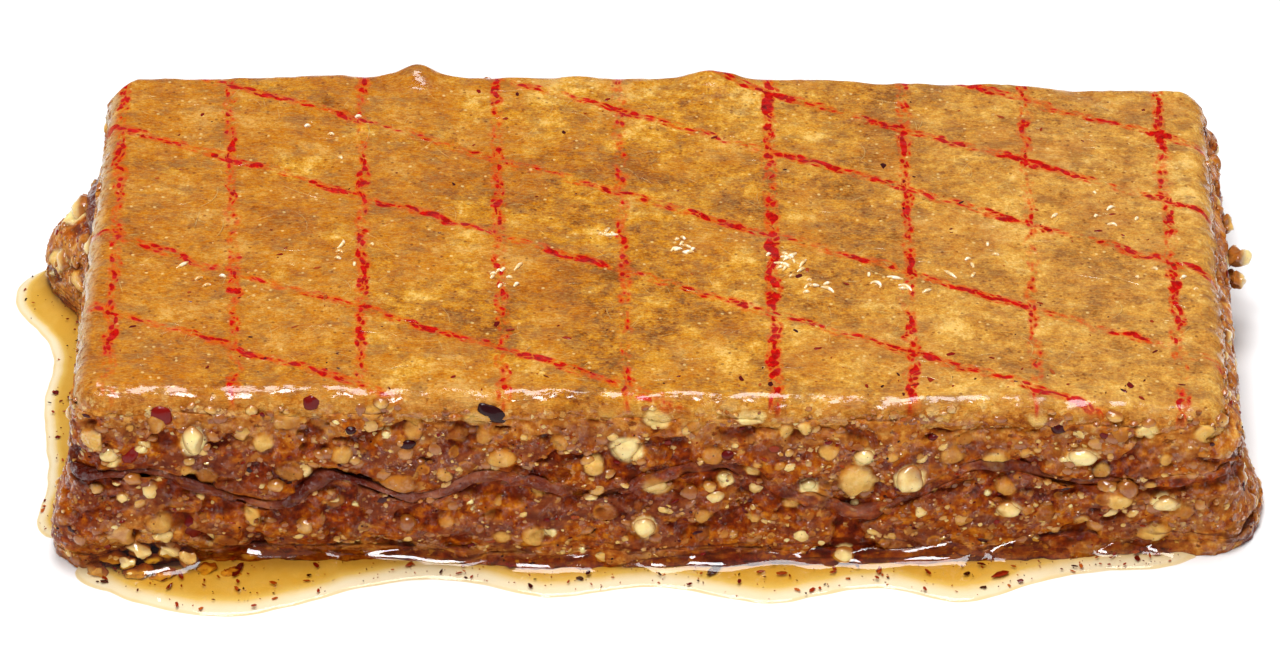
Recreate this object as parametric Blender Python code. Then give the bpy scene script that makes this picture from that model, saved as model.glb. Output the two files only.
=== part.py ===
"""A piece of layered nut baklava: a glazed crust of soaked dough sheets, two nut fillings with dough
sheets between and below them, and the syrup that has run out at its front and left.

Metres, +Z up. X runs along the long cut side, and -Y faces the front. The piece rests on z = 0, and the
origin is at the bottom centre of its bounding box.
"""

import math

import bmesh
import bpy
from mathutils import Vector

MM = 0.001

# The block: a slab cut by hand, so its sides aren't quite square and it is thinner at the right.
LENGTH = 97.4 * MM
DEPTH = 49.2 * MM
MEAN_HEIGHT = 16.6 * MM
HEIGHT_FALL = 3.5 * MM  # left end to right end
FRONT_SKEW = 2.6 * MM  # how much further back the front edge is at the right
BACK_SKEW = 3.0 * MM
BACK_BOW = 1.4 * MM  # how far the back edge bows out at its middle
CORNER_RADIUS = 3.0 * MM

# Heights of the seams between the layers, at the middle of the piece.
CRUST_THICKNESS = 1.9 * MM
UPPER_SEAM = 8.9 * MM
LOWER_SEAM = 7.5 * MM
BASE_SEAM = 1.9 * MM
SEAM_FALL = 1.4 * MM  # the two middle seams drop this much from left to right
SEAM_WAVE = 0.45 * MM
SEAM_GAP = 0.3 * MM  # between touching layers

# What is pressed out of the soft lower layers: where on the outline, how far, and over what radius.
LOWER_BULGES = (
    (Vector((-49, 18)) * MM, 4.6 * MM, 6.5 * MM),
    (Vector((-49, -20)) * MM, 1.8 * MM, 6.0 * MM),
    (Vector((49, -18)) * MM, 2.4 * MM, 5.5 * MM),
)
# Nut pieces that lift the crust at its back edge: where, how high and how wide.
CRUST_LUMPS = (
    (Vector((-21, 24.4)) * MM, 1.3 * MM, 2.2 * MM),
    (Vector((5, 25.0)) * MM, 1.0 * MM, 2.8 * MM),
)
CRUST_RIPPLE = 0.18 * MM

# The syrup.
SYRUP_HEIGHT = 1.9 * MM
SYRUP_RIM = 0.35 * MM  # the height of its rounded rim
SYRUP_GAP = 0.35 * MM  # to the block
FRONT_SYRUP_ENDS = (-47.5 * MM, 46.0 * MM)
FRONT_LOBES = (  # middle, reach in front of the block, and radius
    (-37.0 * MM, 4.8 * MM, 10.5 * MM),
    (-8.0 * MM, 2.2 * MM, 6.0 * MM),
    (9.5 * MM, 2.6 * MM, 7.0 * MM),
    (24.0 * MM, 3.4 * MM, 6.5 * MM),
)
FRONT_REACH = 1.6 * MM
LEFT_SYRUP_ENDS = (-19.0 * MM, 15.5 * MM)
LEFT_LOBES = ((9.5 * MM, 4.2 * MM, 7.0 * MM),)
LEFT_REACH = 1.5 * MM

LAYER_CUTS = (25, 11, 3)  # grid cuts of a layer along X, Y and Z
SYRUP_CUTS = (33, 4, 1)
SHEET_CUTS = 1  # grid cuts through the height of a thin layer
CROWDING = 0.6  # 0 spaces the grid evenly, 1 crowds it towards the sides

MATERIALS = {  # colour, roughness
    "crust": ((0.62, 0.34, 0.10, 1), 0.25),
    "filling": ((0.30, 0.15, 0.09, 1), 0.45),
    "dough": ((0.24, 0.12, 0.08, 1), 0.35),
    "syrup": ((0.78, 0.50, 0.14, 1), 0.08),
}


def clear_scene():
    for obj in list(bpy.data.objects):
        bpy.data.objects.remove(obj)


def make_material(name):
    colour, roughness = MATERIALS[name]
    material = bpy.data.materials.new(name)
    material.use_nodes = True
    shader = material.node_tree.nodes["Principled BSDF"]
    shader.inputs["Base Color"].default_value = colour
    shader.inputs["Roughness"].default_value = roughness
    shader.inputs["Metallic"].default_value = 0
    return material


def crowd(t):
    """Moves a grid line at t, from -1 to 1, nearer to its end, so that the rounded sides get more faces."""
    return (1 - CROWDING) * t + CROWDING * math.sin(t * math.pi / 2)


def rounded_square(u, v):
    """Rounds the corners of the grid over the block, in fractions of its half sizes."""
    half_x, half_y = LENGTH / 2, DEPTH / 2
    x, y = u * half_x, v * half_y
    p = (abs(x) - (half_x - CORNER_RADIUS)) / CORNER_RADIUS
    q = (abs(y) - (half_y - CORNER_RADIUS)) / CORNER_RADIUS
    if p > 0 and q > 0:
        x = math.copysign(half_x - CORNER_RADIUS + CORNER_RADIUS * p * math.sqrt(1 - q * q / 2), x)
        y = math.copysign(half_y - CORNER_RADIUS + CORNER_RADIUS * q * math.sqrt(1 - p * p / 2), y)
    return x / half_x, y / half_y


def plan(u, v, grow=0.0, bulges=()):
    """The point of the hand-cut plan at grid place u, v. Its rim is moved out by grow and by the bulges."""
    u, v = rounded_square(max(-1.0, min(1.0, u)), max(-1.0, min(1.0, v)))
    x = u * LENGTH / 2
    skew = FRONT_SKEW if v < 0 else BACK_SKEW
    bow = BACK_BOW * (1 - u * u) if v > 0 else 0
    y = v * (DEPTH / 2 + bow) + u * skew / 2
    rim = max(abs(u), abs(v)) ** 6
    point = Vector((x, y))
    out = Vector((u * DEPTH, v * LENGTH)).normalized() if rim else Vector((0, 0))
    moved = grow
    for centre, reach, radius in bulges:
        moved += reach * math.exp(-(((point - centre).length / radius) ** 2))
    return point + out * rim * moved


def top_height(x, y):
    height = MEAN_HEIGHT - HEIGHT_FALL * x / LENGTH
    height += CRUST_RIPPLE * math.sin(x / (6.1 * MM)) * math.cos(y / (4.7 * MM))
    for centre, lift, radius in CRUST_LUMPS:
        height += lift * math.exp(-(((Vector((x, y)) - centre).length / radius) ** 2))
    return height


def crust_seam(x, y):
    height = MEAN_HEIGHT - HEIGHT_FALL * x / LENGTH - CRUST_THICKNESS
    return height + 0.5 * SEAM_WAVE * math.sin(x / (5.3 * MM) + y / (9.0 * MM))


def middle_seam(level, phase):
    """A wavy seam through the middle of the piece, at this level."""

    def height(x, y):
        wave = math.sin(x / (8.5 * MM) + phase) * math.cos(y / (11.0 * MM) + phase)
        return level - SEAM_FALL * x / LENGTH + SEAM_WAVE * wave

    return height


def base_seam(x, y):
    return BASE_SEAM + 0.4 * SEAM_WAVE * math.sin(x / (7.2 * MM) + 1) * math.cos(y / (8.3 * MM))


def ground(x, y):
    return 0.0


def gridded_block(cuts):
    """A cube from -1 to 1, cut into a grid along each axis."""
    bm = bmesh.new()
    bmesh.ops.create_cube(bm, size=2)
    for axis, count in enumerate(cuts):
        along = [e for e in bm.edges if abs(e.verts[0].co[axis] - e.verts[1].co[axis]) > 1e-6]
        bmesh.ops.subdivide_edges(bm, edges=along, cuts=count, use_grid_fill=True)
    return bm


def finish_object(name, bm, material, parent, collection):
    bmesh.ops.recalc_face_normals(bm, faces=bm.faces)
    mesh = bpy.data.meshes.new(name)
    bm.to_mesh(mesh)
    bm.free()
    mesh.shade_smooth()
    mesh.set_sharp_from_angle(angle=math.radians(50))
    mesh.materials.append(material)
    obj = bpy.data.objects.new(name, mesh)
    obj.parent = parent
    collection.objects.link(obj)
    return obj


def make_layer(name, low, high, cuts, profile, bulges, material, parent, collection):
    """A layer between the seams low and high. profile gives how far its side stands out at height t."""
    bm = gridded_block(cuts)
    for vert in bm.verts:
        u, v, w = vert.co
        t = (w + 1) / 2
        point = plan(crowd(u), crowd(v), profile(t), bulges)
        bottom = low(*point) + (0 if low is ground else SEAM_GAP / 2)
        top = high(*point) - (0 if high is top_height else SEAM_GAP / 2)
        vert.co = (*point, bottom + (top - bottom) * t)
    return finish_object(name, bm, material, parent, collection)


def round_top(radius):
    """A side that turns in over its upper edge."""

    def profile(t):
        return -radius * max(0.0, 2 * t - 1) ** 3

    return profile


def round_side(grow, swell):
    """A side that stands out by grow, and by swell more at its middle height."""

    def profile(t):
        return grow + swell * math.sin(math.pi * t)

    return profile


def make_block(materials, parent, collection):
    thin = (*LAYER_CUTS[:2], SHEET_CUTS)
    upper_seam = middle_seam(UPPER_SEAM, 0.0)
    lower_seam = middle_seam(LOWER_SEAM, 0.5)
    common = {"parent": parent, "collection": collection}
    make_layer("top_sheets", crust_seam, top_height, LAYER_CUTS, round_top(1.1 * MM), (),
               materials["crust"], **common)
    make_layer("upper_filling", upper_seam, crust_seam, LAYER_CUTS, round_side(-0.1 * MM, 0.5 * MM), (),
               materials["filling"], **common)
    make_layer("middle_sheets", lower_seam, upper_seam, thin, round_side(0.3 * MM, 0.3 * MM), (),
               materials["dough"], **common)
    make_layer("lower_filling", base_seam, lower_seam, LAYER_CUTS, round_side(0.6 * MM, 0.7 * MM),
               LOWER_BULGES, materials["filling"], **common)
    make_layer("base_sheets", ground, base_seam, thin, round_side(0.9 * MM, 0.3 * MM), LOWER_BULGES,
               materials["dough"], **common)


def lobed_reach(place, least, lobes, ends):
    """How far the syrup reaches from the block at a place along it. It tapers to least at its ends."""
    reach = least + sum(far * math.exp(-(((place - middle) / radius) ** 2)) for middle, far, radius in lobes)
    from_end = min(place - ends[0], ends[1] - place)
    taper = math.sin(min(1.0, from_end / (5 * MM)) * math.pi / 2)
    return least / 2 + (reach - least / 2) * taper


def make_syrup(name, start, outwards, reach, ends, material, parent, collection):
    """A low puddle along one side of the block. start gives the block's side at a place along it."""
    bm = gridded_block(SYRUP_CUTS)
    for vert in bm.verts:
        u, v, w = vert.co
        place = ends[0] + (ends[1] - ends[0]) * (crowd(u) + 1) / 2
        across = (1 - v) / 2
        far = reach(place)
        upper = SYRUP_RIM + (min(SYRUP_HEIGHT, 0.75 * far) - SYRUP_RIM) * math.sqrt(1 - across**2)
        point = start(place) + outwards * (SYRUP_GAP + far * math.sin(across * math.pi / 2))
        vert.co = (*point, upper * (w + 1) / 2)
    return finish_object(name, bm, material, parent, collection)


def front_side(x):
    """The front of the block's base at a place along X, where the base stands out furthest."""
    return plan(2 * x / LENGTH, -1, 1.35 * MM, LOWER_BULGES)


def left_side(y):
    return plan(-1, 2 * y / DEPTH, 1.35 * MM, LOWER_BULGES)


def make_puddles(materials, parent, collection):
    common = {"material": materials["syrup"], "parent": parent, "collection": collection}
    make_syrup("syrup_front", front_side, Vector((0, -1)),
               lambda x: lobed_reach(x, FRONT_REACH, FRONT_LOBES, FRONT_SYRUP_ENDS),
               FRONT_SYRUP_ENDS, **common)
    make_syrup("syrup_left", left_side, Vector((-1, 0)),
               lambda y: lobed_reach(y, LEFT_REACH, LEFT_LOBES, LEFT_SYRUP_ENDS),
               LEFT_SYRUP_ENDS, **common)


def centre_over_origin(parent, collection):
    """Moves the parent so that the whole object's bounding box is centred on the origin."""
    corners = [vert.co for obj in collection.objects if obj.type == "MESH" for vert in obj.data.vertices]
    for axis in (0, 1):
        places = [corner[axis] for corner in corners]
        parent.location[axis] = -(min(places) + max(places)) / 2


def main():
    clear_scene()
    collection = bpy.data.collections.new("baklava_piece")
    bpy.context.scene.collection.children.link(collection)
    parent = bpy.data.objects.new("baklava_frame", None)
    collection.objects.link(parent)
    materials = {name: make_material(name) for name in MATERIALS}
    make_block(materials, parent, collection)
    make_puddles(materials, parent, collection)
    centre_over_origin(parent, collection)


main()
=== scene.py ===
import math
import random

import bmesh
import bpy
from mathutils import Matrix, Vector, noise


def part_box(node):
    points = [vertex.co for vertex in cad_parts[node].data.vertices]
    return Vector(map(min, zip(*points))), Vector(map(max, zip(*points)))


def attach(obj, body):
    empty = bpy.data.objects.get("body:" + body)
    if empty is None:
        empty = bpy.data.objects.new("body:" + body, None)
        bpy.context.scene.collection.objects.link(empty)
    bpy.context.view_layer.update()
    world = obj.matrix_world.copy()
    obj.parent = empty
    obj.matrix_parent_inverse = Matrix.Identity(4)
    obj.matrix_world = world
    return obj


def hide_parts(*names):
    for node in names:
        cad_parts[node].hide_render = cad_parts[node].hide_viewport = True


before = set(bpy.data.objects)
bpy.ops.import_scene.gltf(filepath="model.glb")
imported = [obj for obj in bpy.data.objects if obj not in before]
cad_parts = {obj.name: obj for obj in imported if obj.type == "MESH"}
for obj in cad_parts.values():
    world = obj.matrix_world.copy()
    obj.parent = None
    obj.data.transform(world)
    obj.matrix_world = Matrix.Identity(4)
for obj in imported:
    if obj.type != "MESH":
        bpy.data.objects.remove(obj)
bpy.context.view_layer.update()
random.seed(41)

# every piece is modelled in millimetres round the middle of the cut block, then moved into the frame
mm = 0.001
crustLow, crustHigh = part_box("top_sheets")
blockX = (crustLow.x + crustHigh.x) / 2
blockY = crustLow.y + 25.8 * mm
toFrame = Matrix.Translation((blockX, blockY, 0)) @ Matrix.Scale(mm, 4)

block = {
    "halfLength": 48.7, "halfDepth": 24.6, "corner": 2.8,
    "frontSkew": 2.6, "backSkew": 3.0, "backBow": 1.4, "backDeeper": 1.2, "rightWider": 1.5,   # how the hand cut strays from square
    "height": 16.6, "fall": 3.5,                         # thicker at the left end
    "crustDepth": 2.1,
}

# what the soft lower layers press out: place on the outline, how far, over what radius, up to what height
bulges = [
    {"at": (-48.0, 18.0), "toward": (-1, 0), "reach": 5.2, "radius": 6.4, "top": 10.0},
    {"at": (-48.0, -21.0), "toward": (-1, 0), "reach": 1.6, "radius": 6.0, "top": 8.0},
    {"at": (48.0, -18.5), "toward": (1, 0), "reach": 1.6, "radius": 5.0, "top": 4.5},
]

# nuts that lift the crust at its back edge
crustLumps = [
    {"at": (-21.0, 24.6), "lift": 1.4, "radius": 2.0},
    {"at": (5.5, 25.6), "lift": 1.1, "radius": 2.6},
]


def clamp(value, low=0.0, high=1.0):
    return max(low, min(high, value))


def smooth(low, high, value):
    t = clamp((value - low) / (high - low))
    return t * t * (3 - 2 * t)


def rough(x, y, z, size, octaves=2, shift=0.0):
    # cloudy noise from about -1 to 1, with lumps about this many millimetres across
    spot = Vector((x / size + shift, y / size - shift, z / size + 2 * shift))
    return noise.fractal(spot, 1.0, 2.0, octaves)


def bend(x, y):
    # the skew and bow of the hand cut
    u = clamp(x / block["halfLength"], -1.1, 1.1)
    v = clamp(y / block["halfDepth"], -1, 1)
    skew = block["frontSkew"] + (block["backSkew"] - block["frontSkew"]) * (v + 1) / 2
    bow = block["backBow"] * (1 - u * u) * smooth(0, 1, v)
    back = block["backDeeper"] * smooth(-0.3, 1, v) - 1.6 * smooth(-0.93, -1.02, u) * smooth(0.75, 1, v)
    return x + block["rightWider"] * clamp(u) * (v + 1) / 2, y + u * skew / 2 + bow + back


def aroundBlock(s):
    # the point of the inner rectangle and the outward direction, a fraction s of the way round from the front left
    a = block["halfLength"] - block["corner"]
    b = block["halfDepth"] - block["corner"]
    arc = math.pi * block["corner"] / 2
    legs = [
        (2 * a, (-a, -b), (1, 0), -90), (arc, (a, -b), None, -90),
        (2 * b, (a, -b), (0, 1), 0), (arc, (a, b), None, 0),
        (2 * a, (a, b), (-1, 0), 90), (arc, (-a, b), None, 90),
        (2 * b, (-a, b), (0, -1), 180), (arc, (-a, -b), None, 180),
    ]
    walked = (s % 1.0) * sum(leg[0] for leg in legs)
    for length, start, along, facing in legs:
        if walked <= length:
            break
        walked -= length
    turn = facing if along else facing + 90 * walked / length
    inner = Vector(start)
    if along:
        inner += Vector(along) * walked
    return inner, Vector((math.cos(math.radians(turn)), math.sin(math.radians(turn))))


perimeter = 4 * (block["halfLength"] + block["halfDepth"] - 2 * block["corner"]) + 2 * math.pi * block["corner"]


def wayRound(x, side):
    # the fraction s of the place at x along the front or back, or at y along the left or right
    a = block["halfLength"] - block["corner"]
    b = block["halfDepth"] - block["corner"]
    arc = math.pi * block["corner"] / 2
    walked = {
        "front": x + a,
        "right": 2 * a + arc + x + b,
        "back": 2 * a + 2 * arc + 2 * b + a - x,
        "left": 4 * a + 3 * arc + 2 * b + b - x,
    }[side]
    return walked / perimeter


def planeTop(x):
    return block["height"] - block["fall"] * x / (2 * block["halfLength"])


def topHeight(x, y):
    height = planeTop(x)
    height += 0.25 * rough(x, y, 0, 9.0, 2, 3.1) + 0.1 * rough(x, y, 0, 2.6, 2, 7.7)
    height -= 0.9 * smooth(36, 50, x) * smooth(-12, -26, y)   # the drooping front right corner
    for lump in crustLumps:
        reach = (Vector((x, y)) - Vector(lump["at"])).length / lump["radius"]
        height += lump["lift"] * math.exp(-reach * reach)
    return height


def crustSeam(x, y):
    return planeTop(x) - block["crustDepth"] + 0.35 * rough(x, y, 0, 6.0, 2, 1.3)


# crests and troughs of the middle sheets along the front: place, height
seamCrests = [(-50, 9.7), (-43.5, 10.2), (-31.5, 6.9), (-26.6, 9.7), (-19.5, 7.3), (-13.6, 9.5), (-4.5, 7.7),
              (5.2, 9.6), (17.6, 5.0), (28, 9.6), (37.5, 7.6), (50, 8.4)]


def middleSeam(x, y):
    level = seamCrests[0][1]
    for (x0, z0), (x1, z1) in zip(seamCrests, seamCrests[1:]):
        if x >= x0:
            level = z0 + (z1 - z0) * smooth(x0, x1, x)
    wave = 0.75 * math.sin(x / 2.75 + 0.3 + 0.12 * y) + 0.45 * math.sin(x / 6.1 - y / 5.0 + 1.1)
    level += (8.3 + wave - level) * smooth(-23, -14, y)
    return level + 0.4 * rough(x, y, 0, 5.0, 2, 5.2)


def baseSeam(x, y):
    return 1.75 + 0.3 * math.sin(x / 5.2 + 1) + 0.25 * rough(x, y, 0, 5.0, 2, 9.4)


def sideOut(x, y, z, facing):
    # how far the cut side stands out at this height
    front = clamp(-facing.y)
    out = 1.15 - 1.35 * clamp(z / planeTop(x))
    out -= 0.5 * front * smooth(6, 15, z) * (1 - (x / block["halfLength"]) ** 2)   # the front leans back in its middle
    out -= 1.1 * front * smooth(24, 47, x) * smooth(9, 0, z)   # and its foot draws in at the right
    out -= 1.7 * front * smooth(-8, -22, x) * smooth(5, 0.5, z)   # and at the left, where the syrup is
    out += 1.0 * clamp(facing.x) * smooth(0, 2, planeTop(x) - 2.6 - z)   # the filling is wider than the crust there
    for bulge in bulges:
        reach = (Vector((x, y)) - Vector(bulge["at"])).length / bulge["radius"]
        share = math.sin(math.pi * clamp(0.28 + 0.72 * z / bulge["top"]))
        out += bulge["reach"] * share * math.exp(-reach * reach) * clamp(facing.dot(Vector(bulge["toward"])))
    return out


def sidePoint(s, z, extra=0.0):
    # a point on the cut side and its outward direction
    inner, facing = aroundBlock(s)
    flat = inner + facing * block["corner"]
    out = sideOut(flat.x, flat.y, z, facing) + extra
    moved = flat + facing * out
    x, y = bend(moved.x, moved.y)
    return Vector((x, y, z)), Vector((facing.x, facing.y, 0))


# the nuts that show plainly at the front: along, height, width, tallness, tone
frontNuts = [
    (-45.5, 13.6, 2.9, 2.2, 0.72), (-37.4, 13.4, 2.2, 3.1, 0.98), (-40.4, 15.2, 1.6, 1.9, 0.5),
    (-31.6, 13.1, 1.8, 1.9, 0.7), (-29.6, 15.0, 2.4, 1.8, 0.55), (-36.4, 9.9, 2.0, 1.8, 0.35),
    (-29.4, 10.0, 2.8, 1.9, 0.45), (-25.0, 11.7, 1.7, 1.6, 0.6), (-19.0, 14.0, 1.6, 2.3, 0.5),
    (-13.6, 14.9, 2.6, 1.9, 0.62), (-20.4, 8.6, 3.2, 1.9, 0.42), (-11.7, 11.0, 2.6, 1.5, 0.6),
    (-2.9, 15.6, 1.8, 1.6, 0.6), (-1.2, 11.6, 3.1, 3.0, 0.92), (1.4, 14.6, 2.7, 2.2, 0.84),
    (-3.9, 10.3, 2.0, 1.9, 0.72), (9.3, 14.9, 2.8, 2.6, 0.94), (1.3, 8.0, 2.6, 2.0, 0.8),
    (12.3, 13.1, 1.3, 1.4, 0.75), (13.8, 13.4, 1.4, 1.3, 0.75), (0.4, 4.1, 2.3, 2.5, 0.9),
    (18.4, 8.2, 3.4, 3.2, 0.76), (22.7, 8.4, 2.8, 3.0, 0.9), (18.9, 10.6, 2.0, 1.6, 0.9),
    (30.0, 10.0, 2.3, 2.0, 0.75), (33.4, 14.4, 2.2, 2.6, 0.8), (37.3, 10.3, 3.0, 1.9, 0.97),
    (42.7, 13.0, 2.2, 1.8, 0.86), (44.6, 5.4, 2.8, 1.6, 0.9), (31.2, 5.4, 2.3, 1.6, 0.88),
    (40.6, 5.9, 2.4, 1.8, 0.76), (47.6, 12.5, 2.0, 1.8, 0.7), (43.7, 2.4, 2.8, 1.9, 0.7),
    (-32.7, 6.0, 1.3, 2.2, 0.72), (-40.6, 5.2, 2.0, 1.8, 0.6), (-39.9, 2.4, 2.6, 1.8, 0.85),
    (-8.5, 7.9, 1.6, 1.2, 0.6), (6.2, 11.0, 1.8, 1.5, 0.5), (15.8, 11.2, 1.8, 1.4, 0.66), (25.6, 14.6, 1.5, 1.4, 0.7),
    (5.4, 5.2, 1.6, 1.6, 0.55), (12.8, 6.2, 1.5, 1.3, 0.6), (30.8, 7.4, 1.8, 1.4, 0.55), (26.2, 10.6, 2.2, 1.7, 0.5),
]


# and at the other sides: side, along, height, width, tallness, tone
wallNuts = [
    ("right", 6.5, 8.5, 3.6, 3.0, 0.95), ("right", 3.8, 7.2, 2.4, 2.0, 0.85), ("right", -9.0, 11.5, 2.2, 1.8, 0.8),
    ("left", 18.5, 7.5, 3.2, 2.6, 0.9), ("left", 15.0, 4.5, 3.0, 2.4, 0.8), ("left", 12.0, 8.0, 2.6, 2.0, 0.9),
    ("left", -16.0, 8.5, 2.6, 2.2, 0.85), ("left", -10.0, 5.5, 2.4, 2.0, 0.8), ("left", 4.0, 6.5, 2.6, 2.0, 0.85),
    ("back", -30.0, 8.0, 3.0, 2.4, 0.9), ("back", 8.0, 6.0, 2.6, 2.2, 0.85), ("back", 28.0, 9.0, 2.8, 2.0, 0.9),
]


def scatterNuts():
    # every nut larger than a crumb: how far round, height, half width, half tallness, tone, tilt
    nuts = []
    for along, height, width, tall, tone in frontNuts:
        nuts.append((wayRound(along - 1.0, "front") % 1 * perimeter, height, width / 2, tall / 2, tone,
                     random.uniform(-0.3, 0.3)))
    for side, along, height, width, tall, tone in wallNuts:
        nuts.append((wayRound(along, side) % 1 * perimeter, height, width / 2, tall / 2, tone, 0.2))
    while len(nuts) < 480:
        arc, z = random.uniform(0, perimeter), random.uniform(1.0, 16.6)
        half = 0.35 + 0.75 * random.random() ** 1.8
        if any(abs(arc - other[0]) < 0.8 * (half + other[2]) and abs(z - other[1]) < 0.8 * (half + other[3])
               for other in nuts):
            continue
        tone = random.uniform(0.15, 0.65) if random.random() < 0.75 else random.uniform(0.65, 1.0)
        nuts.append((arc, z, half, half * random.uniform(0.6, 0.95), tone, random.uniform(-0.6, 0.6)))
    return nuts


nuts = scatterNuts()
nutCells = {}
for nut in nuts:
    for cell in range(int(nut[0] / 4) - 1, int(nut[0] / 4) + 2):
        nutCells.setdefault(cell, []).append(nut)


def nutsAt(arc, z):
    # how far a nut covers this place, its tone, and how far it lifts the face
    cover, shade, lift = 0.0, 0.5, 0.0
    ragged = 0.16 * rough(arc, z, 0, 0.9, 2, 3.3)
    for middle, height, wide, tall, tone, tilt in nutCells.get(int(arc / 4), ()):
        across, up = arc - middle, z - height
        if abs(across) > 2 * wide or abs(up) > 2 * wide:
            continue
        u = (across * math.cos(tilt) + up * math.sin(tilt)) / wide
        v = (up * math.cos(tilt) - across * math.sin(tilt)) / tall
        reach = math.hypot(u, v) + ragged
        mine = smooth(1.4, 0.5, reach)
        if mine > cover:
            cover, shade = mine, tone
            stand = 0.1 if tone >= 0.78 else 0.12 + 0.3 * wide * tone
            lift = stand * math.sqrt(max(0.0, 1 - reach * reach)) if reach < 1 else 0.0
            lift -= 0.1 * math.exp(-((reach - 1.15) / 0.14) ** 2)
    return cover, shade, lift


def addPiece(name, bm, material, nodes=(), sharp=None):
    bmesh.ops.transform(bm, matrix=toFrame, verts=bm.verts)
    bmesh.ops.recalc_face_normals(bm, faces=bm.faces)
    mesh = bpy.data.meshes.new(name)
    bm.to_mesh(mesh)
    bm.free()
    mesh.shade_smooth()
    if sharp:
        mesh.set_sharp_from_angle(angle=math.radians(sharp))
    mesh.materials.append(material)
    piece = bpy.data.objects.new(name, mesh)
    bpy.context.scene.collection.objects.link(piece)
    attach(piece, "root")
    if nodes:
        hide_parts(*nodes)
    print(name, len(mesh.polygons), "faces")
    return piece


def rgb(red, green, blue):
    # a colour given as it looks on a screen, from 0 to 255
    def linear(value):
        value /= 255
        return value / 12.92 if value <= 0.04045 else ((value + 0.055) / 1.055) ** 2.4
    return (linear(red), linear(green), linear(blue), 1.0)


def addNode(tree, kind, inputs=None, **settings):
    made = tree.nodes.new(kind)
    for name, value in settings.items():
        setattr(made, name, value)
    for name, value in (inputs or {}).items():
        if isinstance(value, bpy.types.NodeSocket):
            tree.links.new(value, made.inputs[name])
        else:
            made.inputs[name].default_value = value
    return made


def sums(tree, operation, a, b=0.0, c=0.0):
    return addNode(tree, "ShaderNodeMath", {0: a, 1: b, 2: c}, operation=operation).outputs[0]


def between(tree, value, low, high, toLow=0.0, toHigh=1.0):
    # a smooth step from toLow at low to toHigh at high
    inputs = {"Value": value, "From Min": low, "From Max": high, "To Min": toLow, "To Max": toHigh}
    return addNode(tree, "ShaderNodeMapRange", inputs, interpolation_type="SMOOTHSTEP").outputs[0]


def mixColour(tree, factor, a, b, blend="MIX"):
    made = addNode(tree, "ShaderNodeMix", data_type="RGBA", blend_type=blend)
    for socket, value in ((0, factor), (6, a), (7, b)):
        if isinstance(value, bpy.types.NodeSocket):
            tree.links.new(value, made.inputs[socket])
        else:
            made.inputs[socket].default_value = value
    return made.outputs[2]


def colourRamp(tree, value, stops):
    made = addNode(tree, "ShaderNodeValToRGB", {0: value})
    ramp = made.color_ramp
    ramp.elements[0].position, ramp.elements[0].color = stops[0]
    ramp.elements[1].position, ramp.elements[1].color = stops[-1]
    for position, colour in stops[1:-1]:
        ramp.elements.new(position).color = colour
    return made.outputs[0]


def clouds(tree, vector, scale, detail=2.0, roughness=0.5, distortion=0.0):
    inputs = {"Vector": vector, "Scale": scale, "Detail": detail, "Roughness": roughness, "Distortion": distortion}
    return addNode(tree, "ShaderNodeTexNoise", inputs).outputs[0]


def stretched(tree, vector, scale, turn=0.0, shift=(0, 0, 0)):
    inputs = {"Vector": vector, "Scale": scale, "Rotation": (0, 0, math.radians(turn)), "Location": shift}
    return addNode(tree, "ShaderNodeMapping", inputs).outputs[0]


def attribute(tree, name):
    return addNode(tree, "ShaderNodeAttribute", attribute_name=name).outputs["Fac"]


def newMaterial(name, settings):
    material = bpy.data.materials.new(name)
    material.use_nodes = True
    tree = material.node_tree
    shader = tree.nodes["Principled BSDF"]
    for socket, value in settings.items():
        shader.inputs[socket].default_value = value
    place = addNode(tree, "ShaderNodeTexCoord").outputs["Object"]
    # millimetres round the middle of the block
    point = stretched(tree, place, (1000, 1000, 1000), 0, (-blockX * 1000, -blockY * 1000, 0))
    return material, tree, shader, point


def bumpFrom(tree, height, distance, strength=1.0, normal=None):
    inputs = {"Height": height, "Distance": distance * mm, "Strength": strength}
    if normal:
        inputs["Normal"] = normal
    return addNode(tree, "ShaderNodeBump", inputs).outputs[0]


def newGroup(name, inputs, outputs):
    group = bpy.data.node_groups.new(name, "ShaderNodeTree")
    for label, kind, value in inputs:
        socket = group.interface.new_socket(name=label, in_out="INPUT", socket_type=kind)
        if value is not None:
            socket.default_value = value
    for label, kind in outputs:
        group.interface.new_socket(name=label, in_out="OUTPUT", socket_type=kind)
    return group, group.nodes.new("NodeGroupInput"), group.nodes.new("NodeGroupOutput")


def useGroup(tree, group, inputs):
    made = tree.nodes.new("ShaderNodeGroup")
    made.node_tree = group
    for name, value in inputs.items():
        if isinstance(value, bpy.types.NodeSocket):
            tree.links.new(value, made.inputs[name])
        else:
            made.inputs[name].default_value = value
    return made.outputs


def makeStrokeGroup():
    # one painted stroke: how strongly a point is marked by the line x = Through + Slant * y
    group, enter, leave = newGroup("paintedStroke", [
        ("Point", "NodeSocketVector", None), ("Through", "NodeSocketFloat", 0.0), ("Slant", "NodeSocketFloat", 0.0),
        ("Width", "NodeSocketFloat", 1.0), ("Strength", "NodeSocketFloat", 1.0),
    ], [("Mark", "NodeSocketFloat")])
    parts = addNode(group, "ShaderNodeSeparateXYZ", {0: enter.outputs["Point"]}).outputs
    middle = sums(group, "MULTIPLY_ADD", parts[1], enter.outputs["Slant"], enter.outputs["Through"])
    away = sums(group, "ABSOLUTE", sums(group, "SUBTRACT", parts[0], middle))
    mark = between(group, away, 0.0, enter.outputs["Width"], enter.outputs["Strength"], 0.0)
    group.links.new(mark, leave.inputs["Mark"])
    return group


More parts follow.
